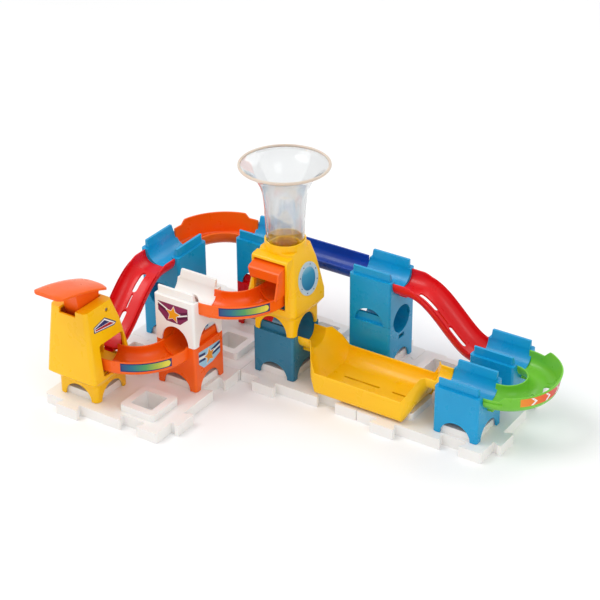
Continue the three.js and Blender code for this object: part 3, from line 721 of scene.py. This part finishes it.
def add_tracks():
    shell("track_curve_lower", front_curve(0, LEVEL_0), ORANGE, "orange_plastic", soften=0.3)
    shell("track_curve_upper", front_curve(PITCH, LEVEL_1), ORANGE, "orange_plastic", soften=0.3)
    shell("track_curve_back", back_curve(), ORANGE, "orange_plastic", soften=0.3)
    shell("track_u_turn", u_turn(), GREEN, "green_plastic", soften=0.3)
    straight = place(straight_track(), PITCH + HALF + GAP, 3 * PITCH, LEVEL_1)
    shell("track_straight", straight, DEEP_BLUE, "deep_blue_plastic", soften=0.3)
    right = place(slide(), 3 * PITCH + HALF + GAP, 3 * PITCH, LEVEL_0)
    shell("slide_right", right, RED, "red_plastic", soften=0.3)
    left = place(slide(-4), 0, 2 * PITCH - HALF - GAP, LEVEL_0, -90)
    shell("slide_left", left, RED, "red_plastic", soften=0.3)


# ---------- catch tray ----------
TRAY_HALF = 36.5
TRAY_STEP = 23.6
TRAY_RIM = 28
TRAY_LIP = 53.5
TRAY_NECK = 15


def trough_section(half, low, floor, rim, step, corner, bend):
    inner = half - TRACK_WALL
    bed = floor + TRACK_WALL
    lip = TRACK_WALL / 2
    return (arc(-half + corner, low + corner, corner, 180, 270, 6)
            + [(-step, low), (-step, floor), (step, floor), (step, low)]
            + arc(half - corner, low + corner, corner, 270, 360, 6)
            + arc(half - lip, rim - lip, lip, 0, 180, 6)
            + arc(inner - bend, bed + bend, bend, 360, 270, 8)
            + arc(bend - inner, bed + bend, bend, 270, 180, 8)
            + arc(lip - half, rim - lip, lip, 0, 180, 6))


TRAY_KEYS = [
    (0, (17, 36.7, 37, TRAY_LIP, 2, 14, 12)),
    (TRAY_NECK, (17, 36.7, 37, TRAY_LIP, 2, 14, 12)),
    (TRAY_NECK + 4, (22, 31.7, 32.7, TRAY_LIP, 5, 14, 14)),
    (TRAY_NECK + 11, (32.5, 14, 16, TRAY_RIM + 12, TRAY_STEP, 7, 17)),
    (TRAY_NECK + 18, (TRAY_HALF, 2, 9.1, TRAY_RIM, TRAY_STEP, 6, 16)),
]


def tray_half():
    """Sections from the neck to the basin, with steps between the keys."""
    stations = [(0, TRAY_KEYS[0][1])]
    for (x0, first), (x1, second) in zip(TRAY_KEYS, TRAY_KEYS[1:]):
        for t in spread(0, 1, 5)[1:]:
            values = [a + (b - a) * t for a, b in zip(first, second)]
            stations.append((x0 + (x1 - x0) * t, values))
    return stations


def catch_tray():
    length = 3 * PITCH - 2 * HALF - 2 * GAP
    near = tray_half()
    far = [(length - x, values) for x, values in reversed(near)]
    stations = [run_station(x, 0, 0, trough_section(*values)) for x, values in near + far]
    tray = loft(stations)
    cut(tray, long_slot(48, 93, 0, 1.2))
    cut(tray, long_slot(108, 135, 0, 1.2))
    start = TRACK_END - GAP
    join(tray, lug(start, 0, TRACK_BASE, 180))
    return join(tray, lug(length - start, 0, TRACK_BASE, 0))


def add_tray():
    tray = place(catch_tray(), 2 * PITCH + HALF + GAP, 2 * PITCH, LEVEL_0)
    shell("catch_tray", tray, YELLOW, "yellow_plastic", soften=0.3)


# ---------- rocket tower ----------
ROCKET = (2 * PITCH, 2 * PITCH)
HOOD_HALF = 19.5
LEDGE_Z = 97
COLLAR_TOP = 104.2
ROCKET_RINGS = [(GAP, 26), (21, 26), (29, 31.5), (40.5, 31.5), (79, 25.3), (96.5, 20.8)]


def rocket_skin(inset=0, floor=None, ceiling=FAR):
    rings = []
    for i, (z, half) in enumerate(ROCKET_RINGS):
        height = floor if i == 0 and floor is not None else min(z, ceiling)
        rings.append((height, -half, half, -half, half))
    return tower(rings, 6, inset)


def rocket_tower():
    body = rocket_skin()
    join(body, prism(circle(0, 0, 22.3, 72), "z", 90, COLLAR_TOP))
    cut(body, rocket_skin(SHELL, -1, 93))
    cut(body, prism(circle(0, 0, 16, 64), "z", 80, FAR))
    cut(body, prism(circle(0, 0, 20.9, 72), "z", LEDGE_Z, FAR))
    brow = prism([(-20, 94), (-28.5, 93), (-30.2, 92), (-31, 90.5), (-31.5, 40.5), (-20, 40.5)],
                 "x", -22.3, 22.3)
    join(body, cut(brow, rocket_skin(SHELL, -1, 93)))
    outline = arch(ARCH_HALF, ARCH_HIGH)
    cut(body, prism(outline, "x", -FAR, FAR))
    cut(body, prism(outline, "y", -FAR, FAR))
    side = HOOD_HALF + GAP
    return cut(body, box(-side, side, -FAR, 0, TRACK_BASE - 1.5, 89.5))


VISOR = [(-22, 88.8), (-40, 84.6), (-42, 82.4), (-39, 70.5), (-36.6, 71), (-39.2, 81.6), (-22, 86.2)]


def rocket_hood():
    outside = VISOR[:4]
    half = HOOD_HALF
    left = prism(outside + [(-34, 66), (-22, 66)], "x", -half, -half + TRACK_WALL)
    right = prism(outside[:3] + [(-43, 75), (-48.5, 54.8), (-22, 54.8)], "x",
                  half - TRACK_WALL, half)
    return join(prism(VISOR, "x", -half, half), left, right)


def funnel():
    outer = through([(20.4, LEDGE_Z + GAP), (20.5, 105), (21.4, 128), (23.2, 150), (26.5, 165),
                     (34, 178), (43, 185.2), (47, 187.2)])
    inner = through([(46.4, 189.2), (42.4, 187.4), (33, 180.6), (24.8, 166), (21.5, 150),
                     (19.7, 128), (18.6, 105), (18.6, LEDGE_Z + GAP)])
    return lathe(outer + inner)


def funnel_rim():
    return lathe(circle(47.4, 189.2, 1.6, 14))


def add_rocket():
    shell("rocket_tower", place(rocket_tower(), *ROCKET, LEVEL_1), YELLOW, "yellow_plastic",
          soften=0.6)
    shell("rocket_hood", place(rocket_hood(), *ROCKET, LEVEL_1), ORANGE, "orange_plastic",
          soften=0.6)
    shell("rocket_funnel", place(funnel(), *ROCKET, LEVEL_1), CLEAR, "clear_plastic", soften=0)
    finish("funnel_rim", place(funnel_rim(), *ROCKET, LEVEL_1), RIM, "clear_plastic", "stand", 0)


# ---------- launcher ----------
PIVOT_Z = 116
PIN_R = 2
NECK_HALF = 9.5
LAUNCHER_RINGS = [
    (LEVEL_0 + GAP, -26, 26, -26, 26),
    (33, -26, 26, -26, 26),
    (43, -33, 33, -36.5, 30.5),
    (68, -30.2, 30.2, -35.8, 26.5),
    (98.5, -26.8, 26.8, -34.9, 20.5),
    (125, -23.6, 23.6, -34, 11),
]


def rod(y, z, radius, x0, x1, steps=32):
    return prism(circle(y, z, radius, steps), "x", x0, x1)


def launcher_tower():
    hollow = [(min(z, 122.3), *sides) for z, *sides in LAUNCHER_RINGS]
    hollow[0] = (1, *hollow[0][1:])
    body = cut(tower(LAUNCHER_RINGS, 5), tower(hollow, 5, SHELL))
    outline = [(a, b + LEVEL_0) for a, b in arch(ARCH_HALF, ARCH_LOW)]
    cut(body, prism(outline, "x", -FAR, FAR))
    cut(body, prism(outline, "y", -FAR, FAR))
    neck = NECK_HALF + 1.3
    cut(body, box(-neck, neck, -FAR, 9, 118.5, FAR))
    cut(body, prism(rounded(-20, 19, 46, 83, 3), "x", 20, FAR))
    cut(body, prism(rounded(-22, 22, 46, 92, 3), "y", 15, FAR))
    shelf = keep(box(-32, 28, -33, 23, 44, 47.5), tower(LAUNCHER_RINGS, 5, 1))
    basin = prism(arc(0, 0, 21, 90, 270, 32) + arc(0, 0, 18.6, 270, 90, 32), "z", 46, 58)
    join(body, shelf)
    join(body, basin)
    cut(body, box(20.5, FAR, -SLOT_HALF, SLOT_HALF, 43.5, 47.8))
    cut(body, box(-SLOT_HALF, SLOT_HALF, 22.9, FAR, 43.5, 47.8))
    join(body, rod(0, PIVOT_Z, 4.5, -24, -20))
    join(body, rod(0, PIVOT_Z, 4.5, 20, 24))
    return cut(body, rod(0, PIVOT_Z, PIN_R + GAP, -FAR, FAR))


LEVER_HALF = 19.3
LEVER_THICK = 4.7


def lever():
    stations = []
    for t in spread(0, 1, 40):
        y = -64 + 77 * t
        z = 152.6 - 20.5 * t + 12 * t * (1 - t)
        tip = max(0, 1 - t * 14) ** 2 + max(0, 1 - (1 - t) * 14) ** 2
        half = LEVER_HALF - 5 * tip
        crown = [(half * n, 2.6 + (LEVER_THICK - 2.6) * (1 - n ** 4)) for n in spread(1, -1, 24)]
        profile = [(-half, 0.6), (-half + 0.6, 0), (half - 0.6, 0), (half, 0.6)] + crown
        stations.append((Vector((0, y, z)), Vector((-1, 0, 0)), UP, profile))
    plate = loft(stations)
    recess = lathe([(0, 0.2), (6, 0.35), (8.2, 1), (9, 2.2), (9, 12), (0, 12)], 48)
    recess.data.transform(Matrix.Translation((0, -24, 148.6 + LEVER_THICK - 1.4))
                          @ Matrix.Rotation(math.radians(-15), 4, "X")
                          @ Matrix.Diagonal((1, 20 / 9, 1, 1)))
    cut(plate, recess)
    neck = prism([(-30, 149), (-27, 124), (-22, 111), (-4, 109.5), (4, 110.5), (6.5, 116),
                  (6.5, 125), (8.5, 137)], "x", -NECK_HALF, NECK_HALF)
    join(plate, neck)
    return cut(plate, rod(0, PIVOT_Z, PIN_R + GAP, -FAR, FAR))


def kicker():
    hood = through([(-10, 68), (-6, 73), (6, 74), (14, 71), (18, 72.5), (16, 80), (4, 86), (-9, 88)], 4)
    return prism([(-19, 109.9), (-19, 60), (-11, 60)] + hood + [(-9, 109.2)], "x", -11, 11)


def coil():
    """Torsion spring round the pin, with one leg at each end."""
    radius = 4.2
    path = [Vector((11.2, radius, PIVOT_Z - 10))]
    for i in range(3 * 24 + 1):
        angle = i * math.pi / 12
        path.append(Vector((11.2 + i * 0.0933, radius * math.cos(angle),
                            PIVOT_Z + radius * math.sin(angle))))
    path.append(Vector((11.2 + 72 * 0.0933, radius, PIVOT_Z - 12)))
    stations = []
    for i, point in enumerate(path):
        tangent = (path[min(i + 1, len(path) - 1)] - path[max(i - 1, 0)]).normalized()
        side = (Vector((1, 0, 0)) - tangent * tangent.x).normalized()
        stations.append((point, side, tangent.cross(side), circle(0, 0, 0.7, 10)))
    return loft(stations)


def add_launcher():
    shell("launcher_tower", launcher_tower(), YELLOW, "yellow_plastic", soften=0.6)
    shell("launcher_lever", lever(), ORANGE, "orange_plastic", "lever", 0.5)
    shell("launcher_kicker", kicker(), RED, "red_plastic", "lever", 0.6)
    shell("launcher_pin", rod(0, PIVOT_Z, PIN_R, -24, 24), STEEL, "spring_steel", soften=0.4)
    shell("launcher_spring", coil(), STEEL, "spring_steel", soften=0)


# ---------- labels ----------
FILM = 0.12                  # thickness of one printed layer


def flat_chart(origin, u, v):
    """Maps label coordinates and lift onto a flat face."""
    origin, u, v = Vector(origin), Vector(u).normalized(), Vector(v).normalized()
    normal = u.cross(v)
    return lambda a, b, lift: origin + u * a + v * b + normal * lift


def wall_chart(centre, radius, lean=lambda degrees, h: 0, base=0):
    """Maps degrees round a curved wall and height onto its outer face."""
    def chart(degrees, h, lift):
        angle = math.radians(degrees)
        reach = radius + lean(degrees, h) + lift
        return Vector((centre[0] + reach * math.cos(angle), centre[1] + reach * math.sin(angle),
                       base + h))
    return chart


def decal(name, outline, chart, layer, material):
    """Thin closed sheet with this outline, on the given layer of a label."""
    count = len(outline)
    low = -FILM
    high = FILM * layer
    vertices = [chart(a, b, low) for a, b in outline] + [chart(a, b, high) for a, b in outline]
    faces = [(i, (i + 1) % count, count + (i + 1) % count, count + i) for i in range(count)]
    faces += [tuple(reversed(range(count))), tuple(range(count, 2 * count))]
    return finish(name, solid(vertices, faces), material, "white_plastic", "stand", 0)


def band(name, start, end, low, high, chart, layer, material, steps=40):
    """Sheet that follows a curved wall; low and high give its edges at each angle."""
    vertices = []
    for a in spread(start, end, steps):
        t = (a - start) / (end - start)
        for b, lift in ((low(t), -FILM), (low(t), FILM * layer), (high(t), FILM * layer),
                        (high(t), -FILM)):
            vertices.append(chart(a, b, lift))
    faces = [(s * 4 + i, s * 4 + (i + 1) % 4, s * 4 + 4 + (i + 1) % 4, s * 4 + 4 + i)
             for s in range(steps) for i in range(4)]
    faces += [(3, 2, 1, 0), tuple(range(steps * 4, steps * 4 + 4))]
    return finish(name, solid(vertices, faces), material, "white_plastic", "stand", 0)


def star(cx, cy, radius, turn=90, waist=0.48):
    points = []
    for i in range(10):
        reach = radius if i % 2 == 0 else radius * waist
        angle = math.radians(turn + 36 * i)
        points.append((cx + reach * math.cos(angle), cy + reach * math.sin(angle)))
    return points


def stripe(x0, y0, x1, y1, width):
    """Bar between two points of a label."""
    run = Vector((x1 - x0, y1 - y0))
    across = Vector((-run.y, run.x)).normalized() * width / 2
    return [(x0 - across.x, y0 - across.y), (x1 - across.x, y1 - across.y),
            (x1 + across.x, y1 + across.y), (x0 + across.x, y0 + across.y)]


def shield_label():
    """Star on a plum shield, on the front of the white block."""
    chart = flat_chart((0, PITCH - HALF, 0), (1, 0, 0), (0, 0, 1))
    shield = [(54.6, 113.8), (93.4, 113.8), (93.4, 101), (83, 92), (65, 92.4), (54.6, 103)]
    decal("label_shield", shield, chart, 1, PLUM)
    decal("label_shield_dark_left", stripe(54.9, 109.6, 68, 103.2, 3), chart, 2, DARK_PLUM)
    decal("label_shield_dark_right", stripe(80, 103.8, 93, 108.6, 3), chart, 2, DARK_PLUM)
    decal("label_shield_dark_low", stripe(80, 98.6, 93, 103.6, 3), chart, 2, DARK_PLUM)
    decal("label_shield_stripe_left", stripe(54.9, 112.4, 70, 104.8, 1.5), chart, 3, PAPER)
    decal("label_shield_stripe_right", stripe(80, 101.2, 93, 106.2, 1.5), chart, 3, PAPER)
    decal("label_shield_star_edge", star(74.2, 102.2, 10.4, 84), chart, 4, PAPER)
    decal("label_shield_star", star(74.2, 102.2, 9.2, 84), chart, 5, GOLD)


def wing_label():
    """Star and stripes on a pale panel, on the side of the orange pillar."""
    chart = flat_chart((PITCH + HALF, 0, 0), (0, 1, 0), (0, 0, 1))
    panel = [(55.5, 60), (93.8, 57.8), (93.8, 43.4), (79, 38), (64, 37.6), (55.5, 45.6)]
    decal("label_wing", panel, chart, 1, PALE_BLUE)
    decal("label_wing_navy_high", stripe(78, 52.6, 93.6, 55.6, 3), chart, 2, NAVY)
    decal("label_wing_white", stripe(78, 49.8, 93.6, 52.4, 2), chart, 2, PAPER)
    decal("label_wing_navy_low", stripe(78, 47.2, 93.6, 49.6, 2.6), chart, 3, NAVY)
    decal("label_wing_navy_left", stripe(55.7, 55.6, 67, 54, 3), chart, 2, NAVY)
    decal("label_wing_white_left", stripe(55.7, 52.4, 67, 50.8, 3), chart, 2, PAPER)
    decal("label_wing_navy_left_low", stripe(55.7, 49, 67, 47.6, 2.6), chart, 3, NAVY)
    decal("label_wing_star_edge", star(74, 48.6, 10.2, 96), chart, 4, PAPER)
    decal("label_wing_star", star(74, 48.6, 9, 96), chart, 5, GOLD)


def launcher_label():
    """Blue and red panel with white outlines on the launcher's side."""
    slope = (26.8 - 23.6) / (125 - 98.5)
    chart = flat_chart((26.8 + 98.5 * slope, 0, 0), (0, 1, 0), (-slope, 0, 1))
    stretch = math.hypot(1, slope)

    def put(points):
        return [(a, b * stretch) for a, b in points]

    decal("label_launcher_edge", put([(-24, 105.5), (-5, 109.6), (11.5, 97.5), (8, 95),
                                      (-24.4, 99.2)]), chart, 1, NAVY)
    decal("label_launcher_white", put([(-23, 104.7), (-5.4, 108.5), (9.8, 97.3), (7.6, 96.2),
                                       (-23.2, 100.2)]), chart, 2, PAPER)
    decal("label_launcher_blue", put([(-21.8, 104), (-6.2, 107), (1, 101.8), (-22, 103)]),
          chart, 3, NAVY)
    decal("label_launcher_red", put([(-22, 102.4), (2, 101.2), (7.6, 97.4), (-22.2, 100.8)]),
          chart, 3, CRIMSON)


def curve_label(name, cell, level):
    """Strip along a front curve, from dark blue to yellow with a round end."""
    centre = (cell + PITCH - CURVE_R, cell + CURVE_R)
    chart = wall_chart(centre, CURVE_R + TRACK_HALF, base=level + TRACK_BASE)
    first, last = -69, -21
    ends = [GRID.x + MM * (centre[0] + (CURVE_R + TRACK_HALF) * math.cos(math.radians(a)))
            for a in (first, last)]
    film = print_and_highlight_film(name + "_film", "X", *ends, [(0, "27407E"), (0.3, "1E6E86"), (0.6, "4E9A5A"),
                                                (0.8, "A9B53C"), (1, "F2DC4A")])
    round_end = 0.93

    def bow(t):
        over = max(0, t - round_end) / (1 - round_end)
        return 3.6 * math.sqrt(max(0, 1 - over * over))

    decal_edge = band(name + "_edge", first, last, lambda t: 5.4, lambda t: 15.2, chart, 1, NAVY)
    band(name, first + 1.2, last - 1.2, lambda t: 10.3 - bow(t), lambda t: 10.3 + bow(t), chart, 2,
         film, 60)
    return decal_edge


def turn_label():
    """Orange to magenta strip with white chevrons round the half-circle's wall."""
    def lean(degrees, h):
        height, flare = turn_wall((degrees + 90) / 180)
        return flare * (h - TURN_ROUND) / (height - TURN_ROUND) if height > TURN_ROUND else 0

    outer = TURN_R + TRACK_HALF
    chart = wall_chart(TURN_CENTRE, outer, lean, LEVEL_0 + TRACK_BASE)
    ends = [GRID.y + MM * (TURN_CENTRE[1] + outer * math.sin(math.radians(a))) for a in (-48, 46)]
    film = print_and_highlight_film("turn_film", "Y", *ends, [(0, "F0902A"), (0.3, "E85A24"), (0.6, "C93040"),
                                             (1, "A8307E")])
    band("label_turn", -48, 46, lambda t: 9.5, lambda t: 18.6, chart, 1, film, 70)
    for i, degrees in enumerate(range(-36, 40, 19)):
        chevron = [(degrees, 10), (degrees + 3, 10), (degrees + 8, 14),
                   (degrees + 3, 18.2), (degrees, 18.2), (degrees + 5, 14)]
        decal(f"label_turn_chevron_{i}", chevron, chart, 2, PAPER)


def porthole():
    """Ringed round window on the rocket's side."""
    slope = (31.5 - 25.3) / (79 - 40.5)
    height = 62.6
    face = 31.5 - slope * (height - 40.5)
    normal = Vector((1, 0, slope)).normalized()
    centre = Vector((ROCKET[0] + face, ROCKET[1] + 0.9, LEVEL_1 + height))
    turn = Matrix.Translation(centre) @ normal.to_track_quat("Z", "Y").to_matrix().to_4x4()
    ring = lathe([(13, -0.4), (18.5, -0.4), (18.5, 0.5), (17.9, 1), (13.8, 1), (13, 0.6)])
    # The glass carries the window blue with its painted highlight towards the top.
    glass = lathe([(0, -0.4), (13.1, -0.4), (13.1, 0.5), (10, 1), (6, 1.3), (0, 1.4)])
    for name, form, material in (("porthole_ring", ring, SILVER), ("porthole_glass", glass, WINDOW_WITH_PAINTED_HIGHLIGHT)):
        form.data.transform(turn)
        finish(name, form, material, "blue_plastic", "stand", 0)
    for i in range(8):
        angle = math.radians(22.5 + 45 * i)
        stud = lathe([(0, 0.8), (0.8, 0.8), (0.7, 1.25), (0.4, 1.4), (0, 1.45)], 16)
        place(stud, 15.8 * math.cos(angle), 15.8 * math.sin(angle))
        stud.data.transform(turn)
        finish(f"porthole_rivet_{i}", stud, NAVY, "blue_plastic", "stand", 0)


def add_labels():
    shield_label()
    wing_label()
    launcher_label()
    curve_label("label_curve_lower", 0, LEVEL_0)
    curve_label("label_curve_upper", PITCH, LEVEL_1)
    turn_label()
    porthole()


# ---------- stage ----------
VIEW_AZIMUTH = -33.5836
VIEW_ELEVATION = 29.2369
VIEW_ROLL = -0.3871
VIEW_AIM = Vector((127.9, 210.5, 60))    # millimetres on the grid
VIEW_DISTANCE = 2.0302
LENS = 108.961


def add_camera():
    azimuth = math.radians(VIEW_AZIMUTH)
    elevation = math.radians(VIEW_ELEVATION)
    roll = math.radians(VIEW_ROLL)
    forward = Vector((math.sin(azimuth) * math.cos(elevation),
                      math.cos(azimuth) * math.cos(elevation), -math.sin(elevation)))
    level = Vector((math.cos(azimuth), -math.sin(azimuth), 0))
    above = level.cross(forward)
    right = level * math.cos(roll) + above * math.sin(roll)
    up = above * math.cos(roll) - level * math.sin(roll)
    data = bpy.data.cameras.new("camera")
    data.lens = LENS
    data.clip_end = 50
    camera = bpy.data.objects.new("camera", data)
    bpy.context.scene.collection.objects.link(camera)
    turn = Matrix((right, up, -forward)).transposed().to_4x4()
    spot = GRID + VIEW_AIM * MM - forward * VIEW_DISTANCE
    camera.matrix_world = Matrix.Translation(spot) @ turn
    bpy.context.scene.camera = camera


def add_floor():
    size = 12
    mesh = bpy.data.meshes.new("floor")
    corners = [(-size, -size, 0), (size, -size, 0), (size, size, 0), (-size, size, 0)]
    mesh.from_pydata(corners, [], [(0, 1, 2, 3)])
    floor = bpy.data.objects.new("floor", mesh)
    bpy.context.scene.collection.objects.link(floor)
    graph = Graph("floor_paper")
    tint = graph.ramp(graph.noise(2, 2), [(0.3, "FAFAFA"), (0.7, "FFFFFF")])
    graph.link(tint, graph.shader.inputs["Base Color"])
    graph.shader.inputs["Roughness"].default_value = 0.9
    graph.shader.inputs["Specular IOR Level"].default_value = 0.1
    mesh.materials.append(graph.material)


def add_light(name, x, y, z, size, power):
    data = bpy.data.lights.new(name, "AREA")
    data.shape = "DISK"
    data.size = size
    data.energy = power
    lamp = bpy.data.objects.new(name, data)
    bpy.context.scene.collection.objects.link(lamp)
    lamp.location = (x, y, z)
    target = GRID + VIEW_AIM * MM
    lamp.rotation_euler = (target - lamp.location).to_track_quat("-Z", "Y").to_euler()


def add_stage():
    add_camera()
    add_floor()
    world = bpy.data.worlds.new("studio")
    bpy.context.scene.world = world
    world.use_nodes = True
    world.node_tree.nodes["Background"].inputs["Color"].default_value = (1, 1, 1, 1)
    world.node_tree.nodes["Background"].inputs["Strength"].default_value = 0.74
    add_light("key_light", -0.9, -0.6, 2.0, 1.3, 17)
    add_light("fill_light", 1.8, -0.8, 1.4, 1.2, 7)
    add_light("back_light", 0.4, 1.8, 1.6, 1.2, 6)
    bpy.context.scene.view_settings.view_transform = "Standard"


add_plates()
add_blocks()
add_tracks()
add_tray()
add_rocket()
add_launcher()
add_labels()
add_stage()
bpy.context.view_layer.update()
